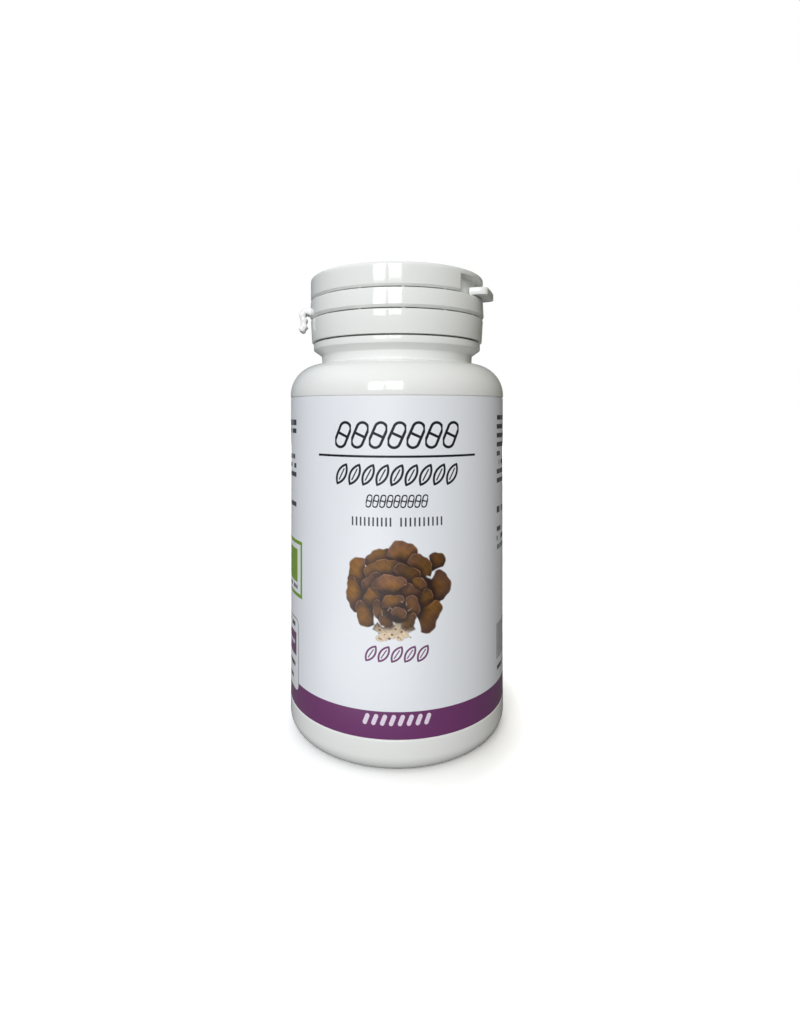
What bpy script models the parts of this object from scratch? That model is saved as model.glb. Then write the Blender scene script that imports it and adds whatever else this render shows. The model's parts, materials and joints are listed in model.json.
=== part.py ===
"""A white plastic capsule bottle with a push-on, flip-top closure that has a tear-off guarantee strip.

Run it with: blender --background --python part.py, or from Blender's text editor.
Sizes are written in millimetres and the meshes are built in metres, +Z up. The origin is the centre of
the foot, on the bottle's axis. The label's front faces -Y, and its seam is at the back, at +Y.
The closure's thumb tab and its hinge are on opposite sides of the closure.
"""

import math

import bmesh
import bpy
from mathutils import Matrix, Vector

MM = 0.001
SEGMENTS = 48                # facets round every turned piece
GAP = 0.3                    # kept between neighbouring solids

# Bottle
BODY_RADIUS = 27.0
WALL = 1.1
FOOT_CORNER = 4.0            # radius of the edge between foot and side
FOOT_RING_INSIDE = 19.5      # inner edge of the flat ring that the bottle stands on
PUSH_UP = 1.9                # how far the middle of the foot is domed up
PANEL_DEPTH = 0.4            # the label panel is this much smaller in radius than the body
SHOULDER_CENTRE = (19.3, 81.5)
SHOULDER_RADIUS = BODY_RADIUS - SHOULDER_CENTRE[0]
NECK_RADIUS = 19.1
COLLAR_RADIUS = 21.25
COLLAR_BOTTOM, COLLAR_TOP = 92.9, 94.5
FINISH_RADIUS = 18.9         # the neck inside the closure
MOUTH_RADIUS = 17.4
RIM = 108.9

# Label
LABEL_BOTTOM, LABEL_TOP = 7.8, 80.7
LABEL_THICKNESS = 0.2
LABEL_SEAM_WIDTH = 0.4

# Closure
CAP_RADIUS = 22.0
BASE_RING_BOTTOM, BASE_RING_TOP = 94.8, 100.3
STRIP_BOTTOM, STRIP_TOP = BASE_RING_TOP + GAP, 105.0
LID_BOTTOM, LID_TOP = STRIP_TOP + GAP, 110.7
LID_PLATE = LID_TOP - 1.5    # underside of the lid's top
LID_INSIDE = 20.8
THUMB_ANGLE = math.radians(-18.0)
RECESS_HALF_ANGLE = math.radians(30.0)
RECESS_WALL, RECESS_TOP = 20.3, 109.3
RECESS_BACK = 0.7            # thickness of the wall behind the recess

# Hinge
HINGE_ANGLE = THUMB_ANGLE + math.pi
HINGE_RADIUS = CAP_RADIUS + 0.2
HINGE_HEIGHT = LID_BOTTOM
STRAP_THICKNESS = 0.7
STRAP_HALF_ANGLE = math.radians(15.0)
STRIP_START = HINGE_ANGLE + math.radians(16.5)
STRIP_END = HINGE_ANGLE - math.radians(16.5) + 2 * math.pi

# Pull tab, at the strip's free end
PULL_TAB_WIDTH = 5.0
PULL_TAB_THICKNESS = 1.1
PULL_TAB_ANGLE = STRIP_START + math.radians(7.5)


# ---------------------------------------------------------------- scene and helpers

def clear_scene():
    for obj in list(bpy.data.objects):
        bpy.data.objects.remove(obj)


def plastic(name, colour, roughness):
    made = bpy.data.materials.new(name)
    made.use_nodes = True
    shader = made.node_tree.nodes["Principled BSDF"]
    shader.inputs["Base Color"].default_value = (*colour, 1.0)
    shader.inputs["Roughness"].default_value = roughness
    shader.inputs["Metallic"].default_value = 0.0
    return made


def link(name, mesh, material=None):
    obj = bpy.data.objects.new(name, mesh)
    bpy.context.scene.collection.objects.link(obj)
    if material:
        mesh.materials.append(material)
    return obj


def arc(centre, radius, start, end, steps):
    """Points (r, z) on an arc, from start to end in degrees, counted from the +r direction."""
    angles = [math.radians(start + (end - start) * i / steps) for i in range(steps + 1)]
    return [(centre[0] + radius * math.cos(a), centre[1] + radius * math.sin(a)) for a in angles]


def turned(name, outline, material, closed):
    """A solid of revolution. The outline is in (r, z) and runs down its outer side."""
    edges = [(i, i + 1) for i in range(len(outline) - 1)]
    if closed:
        edges.append((len(outline) - 1, 0))
    mesh = bpy.data.meshes.new(name)
    mesh.from_pydata([(r * MM, 0.0, z * MM) for r, z in outline], edges, [])
    obj = link(name, mesh, material)
    screw = obj.modifiers.new("turn", "SCREW")
    screw.axis = "Z"
    screw.steps = SEGMENTS
    screw.render_steps = SEGMENTS
    screw.use_smooth_shade = True
    screw.use_merge_vertices = True
    screw.merge_threshold = 0.001 * MM
    return obj


def prism(name, outline, bottom, top, material=None):
    """A plan outline in (x, y), extruded from bottom to top."""
    shape = bmesh.new()
    face = shape.faces.new([shape.verts.new((x * MM, y * MM, bottom * MM)) for x, y in outline])
    raised = bmesh.ops.extrude_face_region(shape, geom=[face])["geom"]
    corners = [v for v in raised if isinstance(v, bmesh.types.BMVert)]
    bmesh.ops.translate(shape, verts=corners, vec=(0, 0, (top - bottom) * MM))
    bmesh.ops.recalc_face_normals(shape, faces=shape.faces)
    mesh = bpy.data.meshes.new(name)
    shape.to_mesh(mesh)
    shape.free()
    return link(name, mesh, material)


def ring_sector(inner, outer, start, end, steps):
    """The plan outline of a stretch of ring, between two angles in radians."""
    angles = [start + (end - start) * i / steps for i in range(steps + 1)]
    there = [(outer * math.cos(a), outer * math.sin(a)) for a in angles]
    back = [(inner * math.cos(a), inner * math.sin(a)) for a in reversed(angles)]
    return there + back


def centred_sector(inner, outer, middle, half_angle, steps=6):
    return ring_sector(inner, outer, middle - half_angle, middle + half_angle, steps)


def combine(obj, other, operation):
    """Cuts other from obj, or joins it to obj, and keeps other out of the model."""
    step = obj.modifiers.new(f"{operation.lower()} {other.name}", "BOOLEAN")
    step.operation = operation
    step.solver = "EXACT"
    step.object = other
    other.hide_render = True
    other.display_type = "WIRE"


def gathered(name, pieces):
    """Several closed shapes that don't touch, as one helper object."""
    shape = bmesh.new()
    for piece in pieces:
        shape.from_mesh(piece.data)
        bpy.data.objects.remove(piece)
    mesh = bpy.data.meshes.new(name)
    shape.to_mesh(mesh)
    shape.free()
    return link(name, mesh)


# ---------------------------------------------------------------- the blow-moulded bottle

def bottle_inside():
    """The inner skin, from the middle of the floor up to the rim."""
    panel_inside = BODY_RADIUS - PANEL_DEPTH - WALL
    corner = FOOT_CORNER - WALL
    floor = [(0.0, PUSH_UP + WALL), (17.0, 1.4 + WALL), (FOOT_RING_INSIDE, WALL)]
    floor += arc((panel_inside - corner, WALL + corner), corner, -90, 0, 3)
    shoulder = arc(SHOULDER_CENTRE, panel_inside - SHOULDER_CENTRE[0], 0, 75, 4)
    neck = [
        (18.2, 88.6),
        (MOUTH_RADIUS, 90.2),
        (MOUTH_RADIUS, RIM - 0.4),
        (MOUTH_RADIUS + 0.4, RIM),
    ]
    return floor + shoulder + neck


def bottle_finish():
    """The outside of the neck, from the rim down to the shoulder, with its two snap beads and the collar."""
    lid_bead = [(19.2, 107.9), (19.2, 107.4)]
    ring_bead = [(19.8, 98.8), (19.8, 98.2)]
    return [
        (FINISH_RADIUS - 0.4, RIM),
        (FINISH_RADIUS, RIM - 0.4),
        (FINISH_RADIUS, 108.2),
        *lid_bead,
        (FINISH_RADIUS, 107.1),
        (FINISH_RADIUS, 99.4),
        *ring_bead,
        (FINISH_RADIUS, 98.0),
        (FINISH_RADIUS, COLLAR_TOP),
        (COLLAR_RADIUS - 0.3, COLLAR_TOP),
        (COLLAR_RADIUS, COLLAR_TOP - 0.3),
        (COLLAR_RADIUS, COLLAR_BOTTOM),
        (19.7, 91.6),
        (NECK_RADIUS, 91.2),
        (NECK_RADIUS, 90.2),
        (19.4, 89.5),
        (19.9, 89.2),
    ]


def bottle_side():
    """The outside from the shoulder down past the label panel to the flat foot ring."""
    panel = BODY_RADIUS - PANEL_DEPTH
    ramp = PANEL_DEPTH
    sides = [
        (BODY_RADIUS, LABEL_TOP + GAP + ramp),
        (panel, LABEL_TOP + GAP),
        (panel, LABEL_BOTTOM - GAP),
        (BODY_RADIUS, LABEL_BOTTOM - GAP - ramp),
    ]
    shoulder = arc(SHOULDER_CENTRE, SHOULDER_RADIUS, 80, 0, 6)
    foot = arc((BODY_RADIUS - FOOT_CORNER, FOOT_CORNER), FOOT_CORNER, 0, -90, 5)
    push_up = [(FOOT_RING_INSIDE, 0.0), (17.0, 1.4), (0.0, PUSH_UP)]
    return shoulder + sides + foot + push_up


def make_bottle(material):
    turned("bottle", bottle_inside() + bottle_finish() + bottle_side(), material, closed=False)


# ---------------------------------------------------------------- the wrap-round label

def make_label(material):
    seam = math.pi / 2
    half_seam = LABEL_SEAM_WIDTH / 2 / BODY_RADIUS
    outline = ring_sector(
        BODY_RADIUS - LABEL_THICKNESS, BODY_RADIUS, seam + half_seam, seam + 2 * math.pi - half_seam, SEGMENTS
    )
    label = prism("label", outline, LABEL_BOTTOM, LABEL_TOP, material)
    label.data.shade_smooth()
    label.data.set_sharp_from_angle(angle=math.radians(30))


# ---------------------------------------------------------------- the closure's base ring

def make_base_ring(material):
    """The ring that snaps over the neck's lower bead and stays on."""
    lug = 19.3
    outline = [
        (CAP_RADIUS - 0.2, BASE_RING_TOP),
        (CAP_RADIUS, BASE_RING_TOP - 0.2),
        (CAP_RADIUS - 0.3, BASE_RING_BOTTOM),
        (20.0, BASE_RING_BOTTOM),
        (lug, 96.2),
        (lug, 97.4),
        (20.2, 97.9),
        (20.2, BASE_RING_TOP),
    ]
    turned("base_ring", outline, material, closed=True)


# ---------------------------------------------------------------- the tear-off strip and its pull tab

def strip_nibs():
    """The small breakable bridges towards the lid and towards the base ring."""
    count = 12
    half_angle = math.radians(1.0)
    reach = GAP - 0.08
    nibs = []
    for i in range(count):
        middle = STRIP_START + (STRIP_END - STRIP_START) * (i + 0.5) / count
        plan = centred_sector(21.1, 21.5, middle, half_angle, steps=1)
        nibs.append(prism("upper_nib", plan, STRIP_TOP - 0.3, STRIP_TOP + reach))
        nibs.append(prism("lower_nib", plan, STRIP_BOTTOM - reach, STRIP_BOTTOM + 0.3))
    return gathered("strip_nibs", nibs)


def turn_upright(piece, angle):
    """Takes a prism whose outline was drawn in (r, z), and stands it up in the given direction."""
    piece.data.transform(Matrix.Rotation(angle, 4, "Z") @ Matrix.Rotation(math.pi / 2, 4, "X"))


def pull_tab():
    """A short plate that leaves the strip's end, bends over and hangs down outside the base ring."""
    spine = [
        (21.6, 102.7), (22.9, 102.8), (23.8, 102.2), (24.1, 101.0),
        (23.9, 99.7), (24.1, 98.5), (24.4, 97.4),
    ]
    upper, lower = [], []
    for i, (r, z) in enumerate(spine):
        before = spine[max(i - 1, 0)]
        after = spine[min(i + 1, len(spine) - 1)]
        along = Vector((after[0] - before[0], after[1] - before[1])).normalized()
        side = Vector((-along.y, along.x)) * PULL_TAB_THICKNESS / 2
        upper.append((r + side.x, z + side.y))
        lower.append((r - side.x, z - side.y))
    tab = prism("pull_tab_shape", upper + lower[::-1], -PULL_TAB_WIDTH / 2, PULL_TAB_WIDTH / 2)
    turn_upright(tab, PULL_TAB_ANGLE)
    return tab


def grip_rib(r, z, name):
    """A small diamond-section rib across the pull tab."""
    size = 0.5
    half_width = PULL_TAB_WIDTH / 2 - 0.3
    section = [(r - size, z), (r, z - size), (r + size, z), (r, z + size)]
    rib = prism(name, section, -half_width, half_width)
    turn_upright(rib, PULL_TAB_ANGLE)
    return rib


def make_tear_strip(material):
    inner, top, bottom = 20.9, CAP_RADIUS, CAP_RADIUS + 0.2
    outline = [
        (top - 0.2, STRIP_TOP),
        (top, STRIP_TOP - 0.2),
        (bottom, STRIP_BOTTOM + 0.6),
        (bottom - 0.5, STRIP_BOTTOM),
        (inner, STRIP_BOTTOM),
        (inner, STRIP_TOP),
    ]
    strip = turned("tear_strip", outline, material, closed=True)
    break_plan = ring_sector(19.0, 24.0, STRIP_END - 2 * math.pi, STRIP_START, 10)
    combine(strip, prism("strip_break", break_plan, STRIP_BOTTOM - 1, STRIP_TOP + 1), "DIFFERENCE")
    combine(strip, strip_nibs(), "UNION")
    combine(strip, pull_tab(), "UNION")
    ribs = {"inner_upper": (23.55, 100.7), "inner_lower": (23.55, 98.9), "outer": (24.6, 98.0)}
    for place, (r, z) in ribs.items():
        combine(strip, grip_rib(r, z, f"grip_rib_{place}"), "UNION")


# ---------------------------------------------------------------- the hinge strap

def make_hinge_strap(material):
    """The strap that rises from the base ring, in the strip's gap, to the fold line under the lid."""
    plan = centred_sector(CAP_RADIUS - STRAP_THICKNESS, CAP_RADIUS, HINGE_ANGLE, STRAP_HALF_ANGLE)
    prism("hinge_strap", plan, BASE_RING_TOP + GAP, LID_BOTTOM - GAP, material)


# ---------------------------------------------------------------- the flip lid

def lid_outline():
    """From the middle of the top, out and down the outside, then up inside to the middle underneath."""
    edge = 1.3
    dish = 0.3
    top = [(0.0, LID_TOP - dish), (18.0, LID_TOP - dish), (18.6, LID_TOP)]
    top += arc((CAP_RADIUS - edge, LID_TOP - edge), edge, 90, 0, 4)
    skirt = [
        (CAP_RADIUS, LID_BOTTOM + 0.5),
        (CAP_RADIUS - 0.4, LID_BOTTOM),
        (LID_INSIDE, LID_BOTTOM),
        (19.4, 106.0),                  # bead that closes under the neck's upper bead
        (19.4, 106.4),
        (LID_INSIDE, 107.2),
        (LID_INSIDE, LID_PLATE),
    ]
    plug = [
        (17.1, LID_PLATE),
        (17.0, 108.4),
        (16.8, 107.8),
        (16.2, 106.8),
        (15.8, 106.8),
        (15.8, LID_PLATE),
        (0.0, LID_PLATE),
    ]
    return top + skirt + plug


def thumb_tab():
    """The ledge that a thumb lifts, level with the lid's lower edge."""
    root, tip = 19.9, 24.6
    half_root, half_tip = 5.6, 4.9
    corner = 1.0
    side = [(root, half_root), (CAP_RADIUS, half_root), (tip - corner - 0.1, half_tip + 0.1)]
    side += [(tip - 0.4, half_tip - 0.4), (tip - 0.05, half_tip - corner - 0.3), (tip, 0.0)]
    outline = side + [(x, -y) for x, y in reversed(side[:-1])]
    tab = prism("thumb_tab_shape", outline, LID_BOTTOM, LID_BOTTOM + 1.8)
    tab.data.transform(Matrix.Rotation(THUMB_ANGLE, 4, "Z"))
    return tab


def make_lid(material):
    lid = turned("lid", lid_outline(), material, closed=False)
    back = centred_sector(RECESS_WALL - RECESS_BACK, LID_INSIDE + GAP, THUMB_ANGLE, RECESS_HALF_ANGLE, 8)
    combine(lid, prism("recess_back", back, LID_BOTTOM, LID_PLATE + GAP), "UNION")
    scoop = centred_sector(RECESS_WALL, 24.0, THUMB_ANGLE, RECESS_HALF_ANGLE, 8)
    combine(lid, prism("thumb_recess", scoop, LID_BOTTOM - 1, RECESS_TOP), "DIFFERENCE")
    combine(lid, thumb_tab(), "UNION")
    return lid


def hang_on_hinge(lid):
    """Parents the lid to an empty on the fold line. The empty's local Y lies along the hinge's axis."""
    axis = bpy.data.objects.new("lid_hinge_axis", None)
    bpy.context.scene.collection.objects.link(axis)
    place = (HINGE_RADIUS * math.cos(HINGE_ANGLE), HINGE_RADIUS * math.sin(HINGE_ANGLE), HINGE_HEIGHT)
    axis.location = Vector(place) * MM
    axis.rotation_euler = (0.0, 0.0, HINGE_ANGLE)
    bpy.context.view_layer.update()
    lid.parent = axis
    lid.matrix_parent_inverse = axis.matrix_world.inverted()


# ---------------------------------------------------------------- the object

clear_scene()
BOTTLE_PLASTIC = plastic("bottle_plastic", (0.87, 0.88, 0.87), 0.20)
CAP_PLASTIC = plastic("cap_plastic", (0.85, 0.86, 0.84), 0.28)
LABEL_FILM = plastic("label_film", (0.84, 0.86, 0.90), 0.45)
make_bottle(BOTTLE_PLASTIC)
make_label(LABEL_FILM)
make_base_ring(CAP_PLASTIC)
make_tear_strip(CAP_PLASTIC)
make_hinge_strap(CAP_PLASTIC)
hang_on_hinge(make_lid(CAP_PLASTIC))
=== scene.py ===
import json
import math

import bmesh
import bpy
import numpy as np
from mathutils import Matrix, Vector


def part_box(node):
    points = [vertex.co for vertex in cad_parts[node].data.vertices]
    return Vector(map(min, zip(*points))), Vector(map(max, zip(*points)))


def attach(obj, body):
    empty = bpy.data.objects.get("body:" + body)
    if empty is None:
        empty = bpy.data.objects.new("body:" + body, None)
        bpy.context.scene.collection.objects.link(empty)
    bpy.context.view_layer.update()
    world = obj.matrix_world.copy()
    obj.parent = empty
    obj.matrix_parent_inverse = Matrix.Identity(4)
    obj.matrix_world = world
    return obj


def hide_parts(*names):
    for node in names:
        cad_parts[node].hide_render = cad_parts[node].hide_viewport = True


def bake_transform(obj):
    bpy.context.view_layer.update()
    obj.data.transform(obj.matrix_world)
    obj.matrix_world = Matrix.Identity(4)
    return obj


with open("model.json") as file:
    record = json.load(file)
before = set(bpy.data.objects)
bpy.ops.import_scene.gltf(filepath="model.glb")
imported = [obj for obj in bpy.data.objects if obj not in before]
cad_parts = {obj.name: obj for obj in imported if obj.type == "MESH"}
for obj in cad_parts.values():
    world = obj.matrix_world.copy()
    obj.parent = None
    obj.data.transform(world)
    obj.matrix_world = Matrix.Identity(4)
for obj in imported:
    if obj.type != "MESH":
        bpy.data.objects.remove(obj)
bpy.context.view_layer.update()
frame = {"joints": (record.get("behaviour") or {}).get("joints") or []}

mm = 0.001

# ---------------------------------------------------------------- the bottle
# One piece of white high-density polyethylene, blow moulded in two mould halves. It has a domed
# foot with a flat ring to stand on, a panel for the label, a round shoulder, a short neck and a
# collar. Above the collar stand the neck's two beads, which the closure clips over.

bottle_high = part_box("bottle")[1]
label_low, label_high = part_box("label")
body_radius = bottle_high.x
rim_height = bottle_high.z
foot_corner = 4.0 * mm
panel_depth = 0.22 * mm
wall = 1.1 * mm
shoulder_start = label_high.z + 0.8 * mm
shoulder_radius = 7.7 * mm
neck_radius = 19.1 * mm
collar_radius = 21.25 * mm
finish_radius = 18.9 * mm
mouth_radius = 17.4 * mm


def filleted(corners, steps=4, closed=False):
    """Rounds off an outline whose corners are (r, z, fillet radius).

    Every corner gives steps + 1 points, apart from the two ends of an open outline.
    """
    coincident = 1e-7
    nearly_straight = math.radians(89.5)
    outline = []
    last = len(corners) - 1
    for i, (r, z, radius) in enumerate(corners):
        here = Vector((r, z))
        back = Vector(corners[i - 1][:2]) - here
        ahead = Vector(corners[(i + 1) % len(corners)][:2]) - here
        is_end = not closed and i in (0, last)
        if is_end:
            outline.append(here)
            continue
        if radius == 0 or min(back.length, ahead.length) < coincident:
            outline += [here] * (steps + 1)
            continue
        half = back.angle(ahead) / 2
        if half > nearly_straight:
            outline += [here] * (steps + 1)
            continue
        reach = min(radius / math.tan(half), 0.49 * back.length, 0.49 * ahead.length)
        bisector = (back.normalized() + ahead.normalized()).normalized()
        centre = here + bisector * (reach / math.cos(half))
        first = here + back.normalized() * reach - centre
        final = here + ahead.normalized() * reach - centre
        start = math.atan2(first.y, first.x)
        sweep = (math.atan2(final.y, final.x) - start + math.pi) % (2 * math.pi) - math.pi
        for k in range(steps + 1):
            a = start + sweep * k / steps
            outline.append(centre + Vector((math.cos(a), math.sin(a))) * first.length)
    return outline


def bend_points(centre, radius, start, end, steps):
    """Corners without a fillet along an arc, from start to end in degrees."""
    angles = [math.radians(start + (end - start) * i / steps) for i in range(steps + 1)]
    return [(centre[0] + radius * math.cos(a), centre[1] + radius * math.sin(a), 0) for a in angles]


def sweep_round(name, outlines, angles, whole=True, closed=False):
    """A turned shell: one (r, z) outline for each angle, joined side by side into a closed mesh."""
    shape = bmesh.new()
    columns = []
    for outline, a in zip(outlines, angles):
        columns.append([shape.verts.new((p[0] * math.cos(a), p[0] * math.sin(a), p[1])) for p in outline])
    rows = len(columns[0])
    spans = rows if closed else rows - 1
    for i in range(len(columns) if whole else len(columns) - 1):
        here, there = columns[i], columns[(i + 1) % len(columns)]
        for k in range(spans):
            n = (k + 1) % rows
            shape.faces.new((here[k], here[n], there[n], there[k]))
    if not whole:
        shape.faces.new(columns[0])
        shape.faces.new(columns[-1])
    bmesh.ops.remove_doubles(shape, verts=shape.verts, dist=1e-7)
    bmesh.ops.dissolve_degenerate(shape, edges=shape.edges, dist=1e-8)
    bmesh.ops.recalc_face_normals(shape, faces=shape.faces)
    return finished(name, shape)


def finished(name, shape, sharp=35):
    """Turns a bmesh into an object with smooth faces and creases where it turns sharply."""
    mesh = bpy.data.meshes.new(name)
    shape.to_mesh(mesh)
    shape.free()
    mesh.shade_smooth()
    mesh.set_sharp_from_angle(angle=math.radians(sharp))
    made = bpy.data.objects.new(name, mesh)
    bpy.context.scene.collection.objects.link(made)
    return made


def all_round(count):
    return [2 * math.pi * i / count for i in range(count)]


bottle_corners = [
    (0, 3.0 * mm, 0),
    (17.0 * mm, 2.5 * mm, 5 * mm),
    (19.5 * mm, wall, 2 * mm),
    (body_radius - panel_depth - wall, wall, 2.9 * mm),
    (body_radius - panel_depth - wall, 87.9 * mm, 6.3 * mm),
    (mouth_radius, 88.7 * mm, 1.6 * mm),
    (mouth_radius, rim_height, 0.5 * mm),
    (finish_radius, rim_height, 0.5 * mm),
    (finish_radius, rim_height - 0.7 * mm, 0.1 * mm),
    (finish_radius + 0.3 * mm, rim_height - 1.0 * mm, 0.15 * mm),
    (finish_radius + 0.3 * mm, rim_height - 1.5 * mm, 0.15 * mm),
    (finish_radius, rim_height - 1.8 * mm, 0.1 * mm),
    (finish_radius, 99.4 * mm, 0.2 * mm),
    (19.8 * mm, 98.8 * mm, 0.2 * mm),
    (19.8 * mm, 98.2 * mm, 0.15 * mm),
    (finish_radius, 98.0 * mm, 0.1 * mm),
    (finish_radius, 94.5 * mm, 0.3 * mm),
    (collar_radius, 94.5 * mm, 0.3 * mm),
    (collar_radius, 92.85 * mm, 0.35 * mm),
    (neck_radius + 0.15 * mm, 91.45 * mm, 0.5 * mm),
    (neck_radius, 89.28 * mm, 0.9 * mm),
]
bottle_corners += bend_points((body_radius - shoulder_radius, shoulder_start), shoulder_radius, 84, 0, 28)
bottle_corners += [
    (body_radius, label_high.z + 0.35 * mm, 0.2 * mm),
    (body_radius - panel_depth, label_high.z + 0.12 * mm, 0.05 * mm),
    (body_radius - panel_depth, label_low.z - 0.12 * mm, 0.05 * mm),
    (body_radius, label_low.z - 0.35 * mm, 0.2 * mm),
]
bottle_corners += bend_points((body_radius - foot_corner, foot_corner), foot_corner, 0, -90, 14)
bottle_corners += [(19.5 * mm, 0, 0.8 * mm), (17.0 * mm, 1.4 * mm, 3 * mm), (0, 1.9 * mm, 0)]

bottle_outline = filleted(bottle_corners)
bottle_angles = all_round(240)
bottle = sweep_round("blown_bottle", [bottle_outline] * len(bottle_angles), bottle_angles)


def moulded_plastic(name, light, dark, roughness, ripple):
    """White plastic as it leaves the mould: nearly even tone, a polished skin and slow shallow ripples."""
    material = bpy.data.materials.new(name)
    material.use_nodes = True
    nodes, links = material.node_tree.nodes, material.node_tree.links
    shader = nodes["Principled BSDF"]
    shader.inputs["IOR"].default_value = 1.53
    place = nodes.new("ShaderNodeTexCoord")

    def cloud(scale, detail):
        made = nodes.new("ShaderNodeTexNoise")
        made.inputs["Scale"].default_value = scale
        made.inputs["Detail"].default_value = detail
        links.new(place.outputs["Object"], made.inputs["Vector"])
        return made.outputs["Fac"]

    tone = nodes.new("ShaderNodeMix")
    tone.data_type = "RGBA"
    tone.inputs["A"].default_value = (*dark, 1)
    tone.inputs["B"].default_value = (*light, 1)
    links.new(cloud(70, 3), tone.inputs["Factor"])
    links.new(tone.outputs["Result"], shader.inputs["Base Color"])

    polish = nodes.new("ShaderNodeMapRange")
    polish.inputs["To Min"].default_value = roughness - 0.03
    polish.inputs["To Max"].default_value = roughness + 0.04
    links.new(cloud(400, 4), polish.inputs["Value"])
    links.new(polish.outputs["Result"], shader.inputs["Roughness"])

    waves = nodes.new("ShaderNodeBump")
    waves.inputs["Strength"].default_value = 0.6
    waves.inputs["Distance"].default_value = ripple
    links.new(cloud(110, 1), waves.inputs["Height"])
    grain = nodes.new("ShaderNodeBump")
    grain.inputs["Strength"].default_value = 0.25
    grain.inputs["Distance"].default_value = 0.0015 * mm
    links.new(cloud(5000, 2), grain.inputs["Height"])
    links.new(waves.outputs["Normal"], grain.inputs["Normal"])
    links.new(grain.outputs["Normal"], shader.inputs["Normal"])
    return material


bottle.data.materials.append(
    moulded_plastic("blown_polyethylene", (0.86, 0.87, 0.86), (0.83, 0.84, 0.83), 0.08, 0.012 * mm)
)
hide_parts("bottle")
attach(bottle, "bottle")

# ---------------------------------------------------------------- the label
# A satin self-adhesive film, printed in black, purple, green and brown, wrapped once round the
# panel. Its end laps over its start at the back of the bottle. The print is plain line ornament,
# a picture of a mushroom cluster, and rows of bars where small print would be.

film_outside = body_radius - 0.06 * mm
film_thickness = 0.12 * mm
film_lap = 4.0 * mm
picture_centre = (-0.1 * mm, 39.4 * mm)
picture_half = (12.6 * mm, 11.9 * mm)
picture_grain = 0.13 * mm


def even_places(low, high, count):
    return [low + (high - low) * i / count for i in range(count)]


film_start = math.pi / 2
film_turn = 2 * math.pi + film_lap / film_outside
front = 1.5 * math.pi
picture_turn = picture_half[0] / film_outside
picture_bottom = picture_centre[1] - picture_half[1]
picture_top = picture_centre[1] + picture_half[1]
picture_columns = int(2 * picture_half[0] / picture_grain)
film_angles = even_places(film_start, front - picture_turn, 90)
film_angles += even_places(front - picture_turn, front + picture_turn, picture_columns)
film_angles += even_places(front + picture_turn, film_start + film_turn, 95) + [film_start + film_turn]
picture_rows = int(2 * picture_half[1] / picture_grain)
film_heights = even_places(label_low.z, picture_bottom, 12)
film_heights += even_places(picture_bottom, picture_top, picture_rows)
film_heights += even_places(picture_top, label_high.z, 18) + [label_high.z]


def film_outline(angle):
    """The film's section at one angle. Near its end the film climbs over its own start."""
    climb_length = 3 * mm
    glue = 0.02 * mm
    to_start = angle - film_start - 2 * math.pi
    climb = min(max(1 + to_start * film_outside / climb_length, 0), 1)
    lift = (film_thickness + glue) * climb * climb * (3 - 2 * climb)
    outside = film_outside + lift
    return [(outside, z) for z in reversed(film_heights)] + [
        (outside - film_thickness, label_low.z),
        (outside - film_thickness, label_high.z),
    ]


label = sweep_round(
    "label_film", [film_outline(a) for a in film_angles], film_angles, whole=False, closed=True
)


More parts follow.
